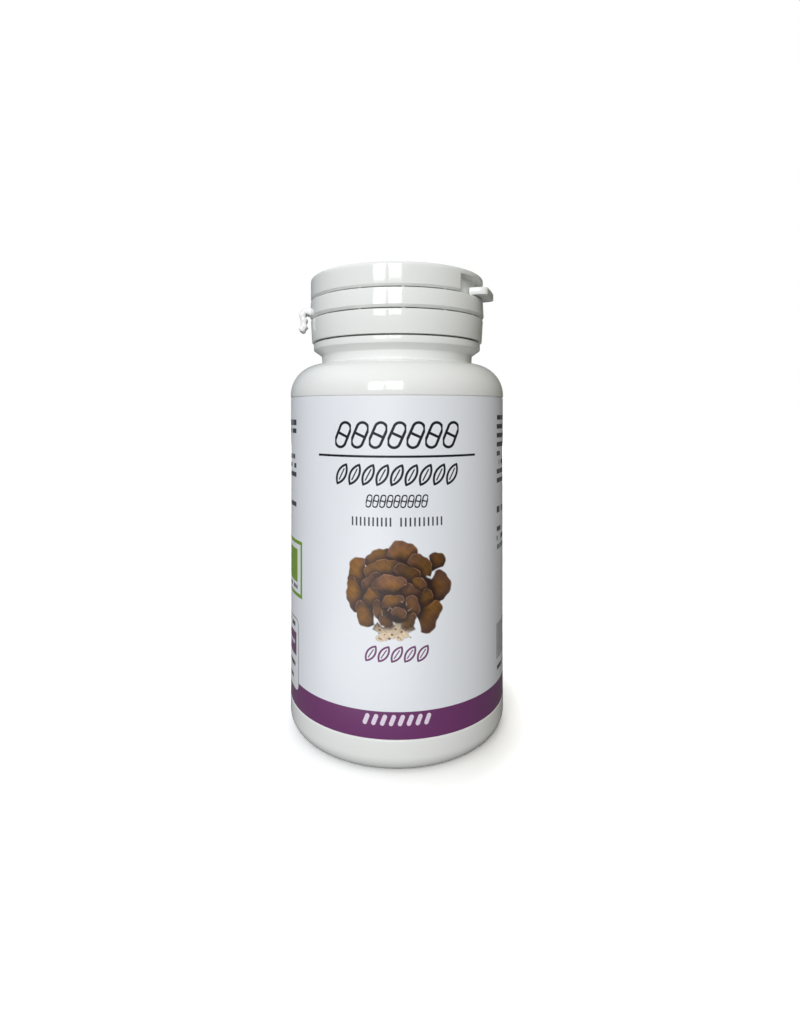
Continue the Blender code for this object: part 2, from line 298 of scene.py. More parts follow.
def paint_cluster(across, up):
    """Colours a cluster of fan-shaped mushroom caps on a cream stem, at the given points in mm.

    Each cap is painted over the ones behind it, after a soft shade is laid under it.
    """
    colour = np.zeros((len(across), 3))
    cover = np.zeros(len(across))
    chance = np.random.default_rng(11)
    base = np.array((-0.6, -8.4))

    def lay(new, amount):
        nonlocal colour, cover
        colour = colour * (1 - amount[:, None]) + new * amount[:, None]
        cover = cover + (1 - cover) * amount

    def wave(t, count, shift):
        return np.sin(t * count + shift)

    def blob(x, y, r, squash, tint, soft=0.2):
        d = np.hypot(across - x, (up - y) / squash) - r
        lay(np.array(tint) * (1 + 0.1 * wave(across + up, 5.0, x))[:, None], np.clip(0.5 - d / soft, 0, 1))

    def stem_part(x, y, lean, length, width, tint):
        along = (across - x) * math.sin(lean) + (up - y) * math.cos(lean)
        aside = (across - x) * math.cos(lean) - (up - y) * math.sin(lean)
        half = width * (0.62 + 0.38 * np.abs(along / length - 0.45))
        edge = np.maximum(np.abs(aside) - half, np.abs(along - length / 2) - length / 2)
        round_off = 1 - 0.55 * (aside / width) ** 2
        fade = np.clip(1.15 - 0.75 * along / length, 0.2, 1)
        lay(np.array(tint) * (round_off * fade)[:, None], np.clip(0.5 - edge / 0.25, 0, 1))

    def cap(x, y, heading, size, spread, warmth):
        """One fan: narrow and dark where it grows, flared and wavy at its rim, with a thin pale edge."""
        root = np.array((x, y)) - size * 0.55 * np.array((math.sin(heading), math.cos(heading)))
        dx, dy = across - root[0], up - root[1]
        distance = np.hypot(dx, dy)
        turn = (np.arctan2(dx, dy) - heading + math.pi) % (2 * math.pi) - math.pi
        phase = chance.uniform(0, 6.28, 5)
        rim = size * (1 + 0.06 * wave(turn, 3.4, phase[0]) + 0.035 * wave(turn, 8, phase[1])
                      + 0.012 * wave(turn, 19, phase[2]))
        rim = rim * np.clip(1.05 - 0.24 * (turn / spread) ** 4, 0.05, 1.1)
        t = np.clip(distance / np.maximum(rim, 0.1), 0, 1)
        side = (np.abs(turn) - spread * (0.62 + 0.38 * t)) * distance
        edge = np.maximum(distance - rim, side)
        shade = np.clip(0.98 - edge / (0.26 * size), 0, 1) * 0.9
        darkened = (shade * cover)[:, None]
        colour[:] = colour * (1 - darkened) + np.array((0.022, 0.006, 0.004)) * darkened
        ochre = np.array((0.205, 0.088, 0.012)) * warmth
        umber = np.array((0.045, 0.017, 0.010))
        mauve = np.array((0.120, 0.055, 0.046)) * (0.6 + 0.4 * warmth)
        drift = 0.55 * wave(turn / spread, 1.4, phase[3])
        dome = np.clip(1 - ((t - 0.70) / 0.42) ** 2 - 0.5 * (turn / spread - drift) ** 2, 0, 1)[:, None]
        tint = umber * (1 - dome) + ochre * dome
        pale_side = np.clip(0.5 + 0.9 * wave(turn / spread, 1.6, phase[4]), 0, 1)
        bloom = 0.55 * (pale_side * np.clip((t - 0.45) / 0.4, 0, 1))[:, None]
        tint = tint * (1 - bloom) + mauve * bloom
        streak = 0.09 * wave(turn, 17, phase[3]) * t + 0.06 * wave(turn, 43, phase[4]) * t
        mottle = 0.08 * wave(across, 2.3, phase[0]) * wave(up, 2.9, phase[1])
        mottle = mottle + 0.05 * wave(across + up, 5.3, phase[2])
        lit = 1 + 0.35 * (dy / size - 0.4) - 0.18 * dx / size
        inner = np.clip(t / 0.62, 0.08, 1)
        tint = tint * ((1 + streak + mottle) * lit * inner)[:, None]
        lip = np.exp(-((edge + 0.10) / 0.07) ** 2) * np.clip((t - 0.6) / 0.3, 0, 1)
        lip = lip * (0.6 + 0.4 * wave(turn, 6, phase[1]))
        tint = tint + np.array((0.24, 0.14, 0.085)) * lip[:, None]
        lay(np.clip(tint, 0.004, 1), np.clip(0.5 - edge / 0.12, 0, 1))

    cream = (0.72, 0.58, 0.42)
    # The stem: short cream branches that fan out of a knotted base.
    for i in range(11):
        lean = math.radians(-62 + 12.4 * i)
        stem_part(base[0] + 0.22 * (i - 5), base[1] - 1.2, lean, 3.3 + 0.9 * wave(i, 2.1, 0.4), 0.62, cream)
    for i in range(16):
        across_base = base[0] + chance.uniform(-3.2, 3.6)
        blob(across_base, base[1] - 1.2 + chance.uniform(-0.8, 1.0), chance.uniform(0.35, 0.85), 0.8, cream)
    for i in range(22):
        blob(
            base[0] + chance.uniform(-3.4, 3.6), base[1] + chance.uniform(-2.0, 1.4),
            chance.uniform(0.12, 0.3), 0.9, (0.20, 0.075, 0.03), 0.12,
        )
    # The dark hollow of the cluster, which shows between the caps.
    for x, y, r in (
        (0.2, 1.8, 6.4), (-4.6, -0.8, 4.6), (5.0, -1.4, 4.8), (0.4, 4.6, 4.4), (0.4, -4.4, 2.8),
    ):
        blob(x, y, r, 0.9, (0.016, 0.005, 0.004), 0.5)
    # The caps, the farthest first: place, way they lean in degrees, size, half opening and warmth.
    for x, y, lean, size, spread, warmth in (
        (-3.6, 6.6, -30, 4.7, 0.95, 0.80), (8.4, 5.4, 34, 4.6, 0.60, 0.60),
        (1.4, 7.7, 6, 5.2, 1.00, 1.15), (5.0, 4.8, 34, 4.8, 0.95, 0.65),
        (-8.2, 3.4, -66, 5.2, 0.90, 1.00), (-3.0, 4.2, -18, 5.2, 1.05, 0.75),
        (2.2, 3.2, 22, 4.8, 0.90, 0.50), (8.8, 0.6, 84, 5.9, 0.80, 1.10),
        (-5.0, 1.4, -50, 4.2, 0.85, 0.60), (-8.8, -1.2, -98, 5.2, 0.95, 1.20),
        (5.0, 0.2, 50, 4.2, 0.85, 0.75), (-4.6, -1.8, -80, 4.4, 0.80, 0.90),
        (2.8, -0.6, 40, 4.0, 0.90, 0.60), (-1.4, 1.0, -8, 5.2, 0.95, 1.35),
        (6.0, -2.4, 88, 4.6, 0.80, 0.85), (-6.4, -4.8, -122, 5.0, 0.85, 1.15),
        (6.6, -5.6, 114, 6.2, 0.80, 1.20), (-3.2, -4.4, -100, 3.8, 0.85, 0.75),
        (3.0, -3.6, 70, 3.9, 0.90, 0.95), (-0.6, -2.6, -20, 3.7, 0.95, 0.85),
        (-2.0, -6.2, -142, 2.9, 0.90, 0.80), (2.6, -6.2, 128, 3.1, 0.90, 0.90),
        (0.4, -5.0, 20, 2.8, 0.95, 0.70),
    ):
        cap(x, y, math.radians(lean), size, spread, warmth)
    # Pale gills and slits that show between the front caps.
    for i in range(6):
        x, y = base[0] + chance.uniform(-2.6, 3.6), base[1] + chance.uniform(3.0, 6.0)
        stem_part(x, y, chance.uniform(-1.2, 1.2), chance.uniform(0.6, 1.3), 0.13, (0.46, 0.32, 0.24))
    return colour, cover


points = np.empty(len(label.data.vertices) * 3)
label.data.vertices.foreach_get("co", points)
points = points.reshape(-1, 3)
film_across = np.arctan2(points[:, 0], -points[:, 1]) * film_outside
near = (np.abs(film_across - picture_centre[0]) < picture_half[0]) & (
    np.abs(points[:, 2] - picture_centre[1]) < picture_half[1]
)
picture = np.zeros((len(points), 4))
inked, covered = paint_cluster(
    (film_across[near] - picture_centre[0]) / mm, (points[near, 2] - picture_centre[1]) / mm
)
picture[near, :3] = inked
picture[near, 3] = covered
printed = label.data.attributes.new("printed_picture", "FLOAT_COLOR", "POINT")
printed.data.foreach_set("color", picture.astype(np.float32).ravel())


class Measure:
    """A length or a number worked out at every point of the film, as a chain of math nodes."""

    def __init__(self, tree, output):
        self.tree = tree
        self.output = output

    def work(self, operation, *values, clamp=False):
        node = self.tree.nodes.new("ShaderNodeMath")
        node.operation = operation
        node.use_clamp = clamp
        for slot, value in zip(node.inputs, (self, *values)):
            if isinstance(value, Measure):
                self.tree.links.new(value.output, slot)
            else:
                slot.default_value = value
        return Measure(self.tree, node.outputs[0])

    def __add__(self, other):
        return self.work("ADD", other)

    def __sub__(self, other):
        return self.work("SUBTRACT", other)

    def __mul__(self, other):
        return self.work("MULTIPLY", other)

    def __truediv__(self, other):
        return self.work("DIVIDE", other)

    def size(self):
        return self.work("ABSOLUTE")

    def larger(self, other):
        return self.work("MAXIMUM", other)

    def smaller(self, other):
        return self.work("MINIMUM", other)

    def whole(self):
        return self.work("FLOOR")

    def within(self, pitch):
        return self.work("FLOORED_MODULO", pitch)

    def root(self):
        return self.work("SQRT")


film_material = bpy.data.materials.new("printed_satin_film")
film_material.use_nodes = True
film_tree = film_material.node_tree
film_shader = film_tree.nodes["Principled BSDF"]
film_place = film_tree.nodes.new("ShaderNodeTexCoord")
film_axes = film_tree.nodes.new("ShaderNodeSeparateXYZ")
film_tree.links.new(film_place.outputs["Object"], film_axes.inputs[0])
east, south, height = (Measure(film_tree, film_axes.outputs[i]) for i in range(3))
across = east.work("ARCTAN2", south * -1.0) * (film_outside / mm)    # mm round the film from its front
up = height / mm                                                     # mm above the foot


def print_area(left, right, bottom, top, corner=0.0):
    """Signed distance in mm to a box on the film, negative inside."""
    aside = (across - (left + right) / 2).size() - ((right - left) / 2 - corner)
    above = (up - (bottom + top) / 2).size() - ((top - bottom) / 2 - corner)
    if corner == 0:
        return aside.larger(above)
    outside = (aside.larger(0) * aside.larger(0) + above.larger(0) * above.larger(0)).root()
    return outside + aside.larger(above).smaller(0) - corner


def ink(distance, soft=0.07):
    """How much ink lies at a point: all inside the shape, none outside it."""
    return (distance * (-1 / soft)).work("ADD", 0.5, clamp=True)


def lines_of(distance, width):
    return distance.size() - width / 2


def repeated(left, pitch, count, middle, tilt):
    """Coordinates inside each of a row of equal cells, turned so that every shape leans the same way."""
    from_middle = (across - left).within(pitch) - pitch / 2
    rise = up - middle
    lean_sine, lean_cosine = math.sin(math.radians(tilt)), math.cos(math.radians(tilt))
    along = rise * lean_cosine + from_middle * lean_sine
    aside = from_middle * lean_cosine - rise * lean_sine
    fence = print_area(left, left + pitch * count, middle - 20, middle + 20)
    return along, aside, fence


def capsule_row(left, pitch, count, middle, length, width, tilt, stroke=None):
    """A row of capsules, each a rod with round ends, as outlines with a middle line or filled in."""
    along, aside, fence = repeated(left, pitch, count, middle, tilt)
    beyond = (along.size() - (length - width) / 2).larger(0)
    shape = (beyond * beyond + aside * aside).root() - width / 2
    if stroke is None:
        return shape.larger(fence)
    belt = (along.size() - stroke / 2).larger(aside.size() - width / 2)
    return lines_of(shape, stroke).smaller(belt).larger(fence)


def leaf_row(left, pitch, count, middle, length, width, tilt, stroke):
    """A row of leaf outlines: each is where two equal circles overlap."""
    along, aside, fence = repeated(left, pitch, count, middle, tilt)
    circle = ((length / 2) ** 2 + (width / 2) ** 2) / width
    offset = circle - width / 2
    reach = aside.size() + offset
    shape = (reach * reach + along * along).root() - circle
    vein = (along.size() - length * 0.3).larger(aside.size() - stroke * 0.3)
    return lines_of(shape, stroke).smaller(vein).larger(fence)


def bar_lines(left, right, top, pitch, count, thickness, ragged):
    """Rows of word-length bars, in place of small print. The rows end raggedly at the far side."""
    row = ((up * -1.0 + top) / pitch).whole()
    in_row = (up * -1.0 + top).within(pitch) - pitch / 2
    noise = film_tree.nodes.new("ShaderNodeTexNoise")
    noise.noise_dimensions = "2D"
    noise.inputs["Scale"].default_value = 1.0
    noise.inputs["Detail"].default_value = 0.0
    spot = film_tree.nodes.new("ShaderNodeCombineXYZ")
    film_tree.links.new((across * 0.55 + row * 3.7).output, spot.inputs[0])
    film_tree.links.new((row * 1.9 + ragged).output, spot.inputs[1])
    film_tree.links.new(spot.outputs[0], noise.inputs["Vector"])
    word_gap = (Measure(film_tree, noise.outputs["Fac"]) * -1.0 + 0.40) * 3.0
    rows = in_row.size() - thickness / 2
    return rows.larger(word_gap).larger(print_area(left, right, top - pitch * count, top))


def ticks(left, right, bottom, top, pitch, width):
    """A group of even upright marks."""
    mark = ((across - left).within(pitch) - pitch / 2).size() - width / 2
    return mark.larger(print_area(left, right, bottom, top))


film_colour = film_tree.nodes.new("ShaderNodeMix")
film_colour.data_type = "RGBA"
film_colour.inputs["A"].default_value = (0.825, 0.85, 0.90, 1)
film_colour.inputs["B"].default_value = (0.855, 0.88, 0.93, 1)
film_cloud = film_tree.nodes.new("ShaderNodeTexNoise")
film_cloud.inputs["Scale"].default_value = 45
film_tree.links.new(film_place.outputs["Object"], film_cloud.inputs["Vector"])
film_tree.links.new(film_cloud.outputs["Fac"], film_colour.inputs["Factor"])
surface = film_colour.outputs["Result"]


def press(colour, amount):
    """Prints one ink over what is on the film already."""
    global surface
    over = film_tree.nodes.new("ShaderNodeMix")
    over.data_type = "RGBA"
    film_tree.links.new(amount.output, over.inputs["Factor"])
    film_tree.links.new(surface, over.inputs["A"])
    if isinstance(colour, bpy.types.NodeSocket):
        film_tree.links.new(colour, over.inputs["B"])
    else:
        over.inputs["B"].default_value = (*colour, 1)
    surface = over.outputs["Result"]


black = (0.006, 0.007, 0.012)
pale_mauve = (0.80, 0.70, 0.84)
soft_black = (0.035, 0.04, 0.055)
purple = (0.155, 0.036, 0.142)
green = (0.18, 0.35, 0.006)
paper_white = (0.82, 0.84, 0.88)

# The purple band along the foot of the film, and the row of white capsules on it.
press(purple, ink(print_area(-90, 90, label_low.z / mm - 1, 13.7)))
press(pale_mauve, ink(capsule_row(-7.6, 1.9, 8, 11.9, 2.5, 0.95, 22)))
# The main line, with a row of capsules above it and a row of leaves below it.
press(black, ink(print_area(-18.9, 18.9, 67.58, 68.08)))
press(black, ink(capsule_row(-14.14, 4.04, 7, 72.4, 5.6, 2.6, 24, 0.60)))
press(black, ink(leaf_row(-13.95, 3.1, 9, 63.9, 4.7, 2.0, 28, 0.50)))
# A row of small capsules, and two groups of fine upright marks below it.
press(black, ink(capsule_row(-6.75, 1.5, 9, 58.35, 2.6, 1.05, 14, 0.30)))
press(soft_black, ink(ticks(-10.2, -0.9, 53.0, 54.9, 0.93, 0.36)))
press(soft_black, ink(ticks(0.4, 10.3, 53.0, 54.9, 0.99, 0.36)))
# The row of purple leaves below the picture.
press(purple, ink(leaf_row(-7.0, 2.8, 5, 25.9, 3.7, 1.7, 34, 0.42)))
# The left side: lines of small print, a green panel in a green frame, and a table with a purple cell.
for top, count, thickness in ((75.9, 1, 1.35), (73.9, 1, 1.1), (67.8, 3, 1.1), (56.5, 1, 1.1)):
    press(soft_black, ink(bar_lines(-68, -29.2, top, 2.13, count, thickness, top)))
press(green, ink(lines_of(print_area(-47.6, -26.1, 34.3, 46.7), 0.85)))
press(green, ink(print_area(-45.4, -28.4, 37.2, 45.0)))
press(soft_black, ink(bar_lines(-45.4, -28.4, 36.9, 1.7, 1, 0.9, 3.1)))
table_edge = print_area(-64.0, -27.7, 11.5, 28.4, 1.6)
press(paper_white, ink(table_edge))
press(soft_black, ink(lines_of(table_edge, 0.22)))
press(purple, ink(print_area(-62.6, -29.2, 19.6, 25.0)))
press(pale_mauve, ink(bar_lines(-60, -30.4, 23.6, 2.3, 1, 0.9, 9.3)))
press(soft_black, ink(bar_lines(-62, -30.0, 27.9, 2.2, 1, 1.0, 5.2)))
press(soft_black, ink(bar_lines(-62, -30.0, 18.9, 3.2, 2, 1.0, 7.7)))
# The right side: lines of small print and a block of even stripes.
for top, count, thickness in ((77.1, 8, 1.1), (55.3, 1, 1.5), (50.7, 3, 1.1), (17.9, 1, 1.0)):
    press(soft_black, ink(bar_lines(28.7, 68, top, 2.13, count, thickness, top + 40)))
press(soft_black, ink(ticks(28.4, 51, 19.0, 27.4, 0.95, 0.45)))

film_picture = film_tree.nodes.new("ShaderNodeAttribute")
film_picture.attribute_name = "printed_picture"
press(film_picture.outputs["Color"], Measure(film_tree, film_picture.outputs["Alpha"]))

film_tree.links.new(surface, film_shader.inputs["Base Color"])
film_polish = film_tree.nodes.new("ShaderNodeMapRange")
film_polish.inputs["To Min"].default_value = 0.29
film_polish.inputs["To Max"].default_value = 0.37
film_tree.links.new(film_cloud.outputs["Fac"], film_polish.inputs["Value"])
film_tree.links.new(film_polish.outputs["Result"], film_shader.inputs["Roughness"])
film_peel = film_tree.nodes.new("ShaderNodeTexNoise")
film_peel.inputs["Scale"].default_value = 1500
film_tree.links.new(film_place.outputs["Object"], film_peel.inputs["Vector"])
film_bump = film_tree.nodes.new("ShaderNodeBump")
film_bump.inputs["Strength"].default_value = 0.3
film_bump.inputs["Distance"].default_value = 0.004 * mm
film_tree.links.new(film_peel.outputs["Fac"], film_bump.inputs["Height"])
film_tree.links.new(film_bump.outputs["Normal"], film_shader.inputs["Normal"])
label.data.materials.append(film_material)
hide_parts("label")
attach(label, "bottle")

# ---------------------------------------------------------------- the closure's base ring
# The lowest band of the closure, injection moulded in white polypropylene. A lug inside it clips
# under the neck's lower bead, so it stays on the bottle for good.

ring_low, ring_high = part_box("base_ring")
cap_radius = ring_high.x
ring_inside = 20.2 * mm
ring_lug = 19.3 * mm

ring_outline = filleted([
    (cap_radius, ring_high.z, 0.22 * mm),
    (cap_radius - 0.3 * mm, ring_low.z, 0.12 * mm),
    (20.0 * mm, ring_low.z, 0.15 * mm),
    (ring_lug, ring_low.z + 1.4 * mm, 0.2 * mm),
    (ring_lug, ring_low.z + 2.6 * mm, 0.15 * mm),
    (ring_inside, ring_low.z + 3.1 * mm, 0.2 * mm),
    (ring_inside, ring_high.z, 0.1 * mm),
], closed=True)
ring_angles = all_round(200)
base_ring = sweep_round("closure_base_ring", [ring_outline] * len(ring_angles), ring_angles, closed=True)
cap_plastic = moulded_plastic(
    "moulded_polypropylene", (0.86, 0.875, 0.862), (0.84, 0.855, 0.84), 0.08, 0.008 * mm
)
base_ring.data.materials.append(cap_plastic)
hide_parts("base_ring")
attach(base_ring, "bottle")

# ---------------------------------------------------------------- the tear strip
# The middle band, moulded in one with the rest and held to its neighbours by small bridges that
# break when it is torn off. It ends on both sides of the hinge, and one end carries a pull tab.

hinge = next(j for j in frame["joints"] if j["name"] == "lid_hinge")
hinge_point = Vector(hinge["pos_m"])
hinge_angle = math.atan2(hinge_point.y, hinge_point.x)
lid_low, lid_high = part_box("lid")
band_gap = 0.3 * mm
strip_bottom = ring_high.z + band_gap
strip_top = lid_low.z - band_gap
strip_inside = 20.9 * mm
strip_flare = 0.2 * mm
break_half = math.radians(16.5)
strip_start = hinge_angle + break_half
strip_end = hinge_angle - break_half + 2 * math.pi

strip_outline = filleted([
    (cap_radius, strip_top, 0.15 * mm),
    (cap_radius + strip_flare, strip_bottom + 0.62 * mm, 0.12 * mm),
    (cap_radius - 0.28 * mm, strip_bottom, 0.08 * mm),
    (strip_inside, strip_bottom, 0.1 * mm),
    (strip_inside, strip_top, 0.1 * mm),
], closed=True)
strip_angles = [strip_start + (strip_end - strip_start) * i / 180 for i in range(181)]
tear_strip = sweep_round(
    "tear_strip_band", [strip_outline] * len(strip_angles), strip_angles, whole=False, closed=True
)
tear_strip.data.materials.append(cap_plastic)
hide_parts("tear_strip")
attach(tear_strip, "bottle")

bridge_count = 12
bridge_radius = 21.1 * mm
bridge_size = (0.35 * mm, 0.6 * mm, band_gap + 0.2 * mm)
bridges = bmesh.new()
for i in range(bridge_count):
    angle = strip_start + (strip_end - strip_start) * (i + 0.5) / bridge_count
    for level in (strip_bottom - band_gap / 2, strip_top + band_gap / 2):
        cube = bmesh.ops.create_cube(bridges, size=1)["verts"]
        bmesh.ops.scale(bridges, vec=bridge_size, verts=cube)
        bmesh.ops.translate(bridges, vec=(bridge_radius, 0, level), verts=cube)
        bmesh.ops.rotate(bridges, cent=(0, 0, 0), matrix=Matrix.Rotation(angle, 3, "Z"), verts=cube)
tear_bridges = finished("tear_bridges", bridges)
tear_bridges.data.materials.append(cap_plastic)
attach(tear_bridges, "bottle")


def smooth_line(knots, steps):
    """Points on a smooth curve that passes through every knot."""
    ends = [knots[0] * 2 - knots[1], *knots, knots[-1] * 2 - knots[-2]]
    line = []
    for a, b, c, d in zip(ends, ends[1:], ends[2:], ends[3:]):
        for k in range(steps):
            t = k / steps
            squared = (2 * a - 5 * b + 4 * c - d) * t * t
            cubed = (3 * b - a - 3 * c + d) * t ** 3
            line.append(0.5 * (2 * b + (c - a) * t + squared + cubed))
    return line + [knots[-1]]


# The pull tab: a plate that leaves the strip's lower half, turns over and hangs down clear of the
# base ring. Two thick ribs inside and a lip at its tip give the fingers a grip.
tab_width = 5.0 * mm
tab_angle = strip_start + math.radians(7.5)
tab_knots = [Vector((r * mm, z * mm)) for r, z in (
    (21.5, 102.3), (22.7, 102.6), (23.7, 102.3), (23.95, 101.2), (23.75, 99.9), (23.85, 98.7), (24.2, 97.5),
)]
tab_line = smooth_line(tab_knots, 8)
tab_shape = bmesh.new()
tab_rings = []
for i, point in enumerate(tab_line):
    share = i / (len(tab_line) - 1)
    ahead = tab_line[min(i + 1, len(tab_line) - 1)] - tab_line[max(i - 1, 0)]
    along = ahead.normalized()
    outward = Vector((-along.y, along.x))
    root_swell = 0.35 * max(0, 1 - share / 0.3) ** 2
    inner_ribs = sum(0.40 * math.exp(-((share - at) / 0.045) ** 2) for at in (0.60, 0.80))
    outer_ribs = sum(0.22 * math.exp(-((share - at) / 0.05) ** 2) for at in (0.46, 0.93))
    tip = math.sqrt(max(0.05, 1 - max(0, (share - 0.94) / 0.06) ** 2))
    inner = -(0.62 + root_swell + inner_ribs) * mm * tip
    outer = (0.72 + root_swell + outer_ribs) * mm * tip
    half = tab_width / 2 * (0.94 + 0.06 * tip)
    edge = 0.3 * mm
    section = filleted([
        (half, outer, edge), (-half, outer, edge), (-half, inner, edge), (half, inner, edge),
    ], steps=3, closed=True)
    ring = []
    for side, depth in section:
        place = point + outward * depth
        ring.append(tab_shape.verts.new((place.x, side, place.y)))
    tab_rings.append(ring)
for ring, following in zip(tab_rings, tab_rings[1:]):
    for k in range(len(ring)):
        n = (k + 1) % len(ring)
        tab_shape.faces.new((ring[k], ring[n], following[n], following[k]))
tab_shape.faces.new(tab_rings[0])
tab_shape.faces.new(tab_rings[-1])
bmesh.ops.recalc_face_normals(tab_shape, faces=tab_shape.faces)
bmesh.ops.rotate(
    tab_shape, cent=(0, 0, 0), matrix=Matrix.Rotation(tab_angle, 3, "Z"), verts=tab_shape.verts
)
pull_tab = finished("pull_tab", tab_shape, sharp=50)
pull_tab.data.materials.append(cap_plastic)
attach(pull_tab, "bottle")

# ---------------------------------------------------------------- the hinge
# A strap in the gap between the strip's ends, moulded in one with the base ring and the lid. It is
# stiff up to the fold, where it thins to a film on which the lid opens. Here the strap is built in
# its closed shape and does not bend.

strap_half = math.radians(15.0)
strap_outside = cap_radius - 0.05 * mm
strap_levels = [ring_high.z - 0.4 * mm, strip_bottom + 0.4 * mm, strip_top - 0.5 * mm]
strap_levels += [strip_top - 0.3 * mm + 0.1 * mm * i for i in range(13)]
hinge_outside, hinge_inside = [], []
for level in strap_levels:
    near_fold = math.exp(-((level - (lid_low.z - band_gap / 2)) / (0.35 * mm)) ** 2)
    hinge_outside.append((strap_outside - 0.12 * mm * near_fold, level))
    hinge_inside.append((strap_outside - 0.7 * mm + 0.28 * mm * near_fold, level))
hinge_outline = hinge_outside[::-1] + hinge_inside
hinge_angles = [hinge_angle - strap_half + 2 * strap_half * i / 24 for i in range(25)]
hinge_web = sweep_round(
    "hinge_web", [hinge_outline] * len(hinge_angles), hinge_angles, whole=False, closed=True
)
hinge_web.data.materials.append(cap_plastic)
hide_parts("hinge_strap")
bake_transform(hinge_web)

# ---------------------------------------------------------------- the lid
# The upper band and top of the closure, of the same polypropylene. Inside, a tapered plug seals the
# mouth and a bead clips under the neck's upper bead. Opposite the hinge the wall is set back under
# the rim for a fingertip, and a ledge stands out level with the lower edge.

thumb_angle = hinge_angle - math.pi
lid_top = lid_high.z
lid_plate = lid_top - 1.5 * mm
recess_half = math.radians(30.0)
recess_ease = math.radians(3.0)
recess_depth = 1.7 * mm
recess_top = lid_top - 1.4 * mm


def lid_section(recess):
    """The lid's section where the wall is set back by a share of the recess's full depth."""
    wall_radius = cap_radius - recess_depth * recess
    inside = 20.8 * mm - 1.2 * mm * recess
    chamfer = 0.4 * mm * (1 - recess)
    return filleted([
        (0, lid_top - 0.3 * mm, 0),
        (17.9 * mm, lid_top - 0.3 * mm, 0.5 * mm),
        (18.6 * mm, lid_top, 0.4 * mm),
        (cap_radius, lid_top, 1.3 * mm),
        (cap_radius, recess_top, 0.22 * mm * recess),
        (wall_radius, recess_top, 0.4 * mm * recess),
        (wall_radius, lid_low.z + 0.5 * mm, 0.12 * mm),
        (wall_radius - chamfer, lid_low.z, 0.1 * mm),
        (inside, lid_low.z, 0.1 * mm),
        (19.4 * mm, lid_low.z + 0.7 * mm, 0.15 * mm),
        (19.4 * mm, lid_low.z + 1.1 * mm, 0.15 * mm),
        (inside, lid_low.z + 1.9 * mm, 0.2 * mm),
        (inside, lid_plate, 0.3 * mm),
        (17.1 * mm, lid_plate, 0.2 * mm),
        (17.0 * mm, lid_plate - 0.8 * mm, 0.5 * mm),
        (16.2 * mm, lid_plate - 2.4 * mm, 0.2 * mm),
        (15.8 * mm, lid_plate - 2.4 * mm, 0.15 * mm),
        (15.8 * mm, lid_plate, 0.3 * mm),
        (0, lid_plate, 0),
    ])


def recess_share(angle):
    """1 in the recess, 0 outside it, with a rounded step between."""
    away = abs((angle - thumb_angle + math.pi) % (2 * math.pi) - math.pi)
    t = min(max((recess_half - away) / recess_ease, 0), 1)
    return t * t * (3 - 2 * t)


lid_angles = [thumb_angle + a for a in all_round(200)]
for side in (-1, 1):
    for i in range(16):
        lid_angles.append(thumb_angle + side * (recess_half - recess_ease * (i + 0.5) / 16))
lid_angles = sorted(a % (2 * math.pi) for a in lid_angles)
lid = sweep_round("flip_lid", [lid_section(recess_share(a)) for a in lid_angles], lid_angles)
lid.data.materials.append(cap_plastic)
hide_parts("lid")
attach(lid, "lid")


def slab(name, outline, bottom, top, edge):
    """A flat plate with the given plan, whose upper and lower edges are rounded."""
    shape = bmesh.new()
    underside = shape.faces.new([shape.verts.new((p[0], p[1], bottom)) for p in outline])
    grown = bmesh.ops.extrude_face_region(shape, geom=[underside])["geom"]
    lifted = [v for v in grown if isinstance(v, bmesh.types.BMVert)]
    bmesh.ops.translate(shape, verts=lifted, vec=(0, 0, top - bottom))
    rims = [e for e in shape.edges if abs(e.verts[0].co.z - e.verts[1].co.z) < 1e-7]
    bmesh.ops.bevel(shape, geom=rims, offset=edge, segments=3, affect="EDGES", profile=0.5)
    bmesh.ops.recalc_face_normals(shape, faces=shape.faces)
    return finished(name, shape)


# The thumb ledge, which grows out of the recess's back wall.
ledge_root, ledge_tip = 19.95 * mm, 24.35 * mm
ledge_half_root, ledge_half_tip = 5.6 * mm, 5.0 * mm
ledge_plan = filleted([
    (ledge_root, -ledge_half_root, 0),
    (ledge_root, ledge_half_root, 0),
    (cap_radius, ledge_half_root, 0.5 * mm),
    (ledge_tip - 0.1 * mm, ledge_half_tip, 1.3 * mm),
    (ledge_tip, 0, 8 * mm),
    (ledge_tip - 0.1 * mm, -ledge_half_tip, 1.3 * mm),
    (cap_radius, -ledge_half_root, 0.5 * mm),
], steps=5, closed=True)
ledge_points = [p for i, p in enumerate(ledge_plan) if (p - ledge_plan[i - 1]).length > 1e-6]
thumb_ledge = slab("thumb_ledge", ledge_points, lid_low.z + 0.02 * mm, lid_low.z + 1.8 * mm, 0.22 * mm)
thumb_ledge.data.transform(Matrix.Rotation(thumb_angle, 4, "Z"))
thumb_ledge.data.materials.append(cap_plastic)
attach(thumb_ledge, "lid")

# The mark of the moulding gate, a low button in the middle of the lid's top.
gate_outline = filleted([
    (0, lid_top - 0.12 * mm, 0),
    (0.9 * mm, lid_top - 0.12 * mm, 0.1 * mm),
    (1.1 * mm, lid_top - 0.45 * mm, 0.05 * mm),
    (0, lid_top - 0.45 * mm, 0),
])
gate_angles = all_round(32)
gate_mark = sweep_round("gate_mark", [gate_outline] * len(gate_angles), gate_angles)
gate_mark.data.materials.append(cap_plastic)
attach(gate_mark, "lid")

# ---------------------------------------------------------------- the studio
# A white table in white surroundings. Two tall window panels stand in front, a little to the left.
# As light and as mirror images the surroundings are dimmer than they look, and warmer on the right.

